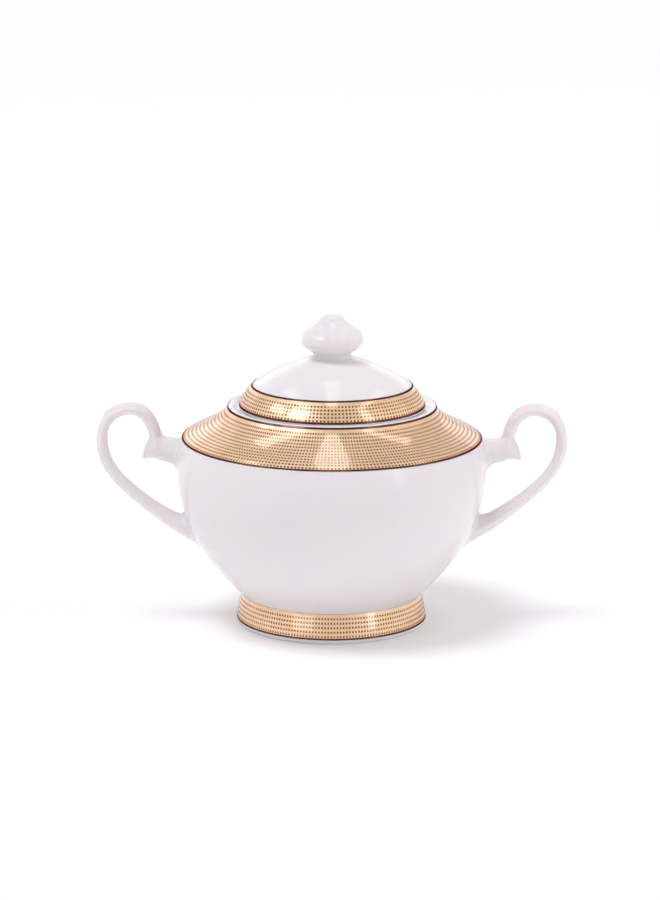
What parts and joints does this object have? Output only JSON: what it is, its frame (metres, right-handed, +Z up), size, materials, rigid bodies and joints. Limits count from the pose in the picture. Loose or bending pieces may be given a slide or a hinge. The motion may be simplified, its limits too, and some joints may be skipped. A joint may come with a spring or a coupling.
{
  "type": "sugar bowl",
  "caption": "Footed porcelain sugar bowl with two loop handles, a lift-off domed lid with a knob, and gilt bands on shoulder, lid and foot.",
  "frame": {"origin": "centre of the foot's standing ring, on the table", "axes": "+Z up along the bowl's axis, +X through the right-hand handle, -Y towards the viewer"},
  "size_m": [0.18, 0.1182, 0.12],
  "materials": {
    "porcelain": "gloss",
    "gilt": "satin",
    "painted_line": "gloss"
  },
  "bodies": {
    "bowl": {"bowl": "porcelain", "foot_ring": "porcelain", "handle_left": "porcelain", "handle_right": "porcelain", "shoulder_band": "gilt", "foot_band": "gilt", "shoulder_lower_line": "painted_line", "shoulder_upper_line": "painted_line", "foot_line": "painted_line"},
    "lid": {"lid": "porcelain", "lid_knob": "porcelain", "lid_band": "gilt", "lid_lower_line": "painted_line", "lid_upper_line": "painted_line"}
  },
  "joints": [
    {"name": "lid_lift", "type": "slide", "parent": "bowl", "child": "lid", "axis": [0, 0, 1], "range_m": [0, 0.08]}
  ]
}
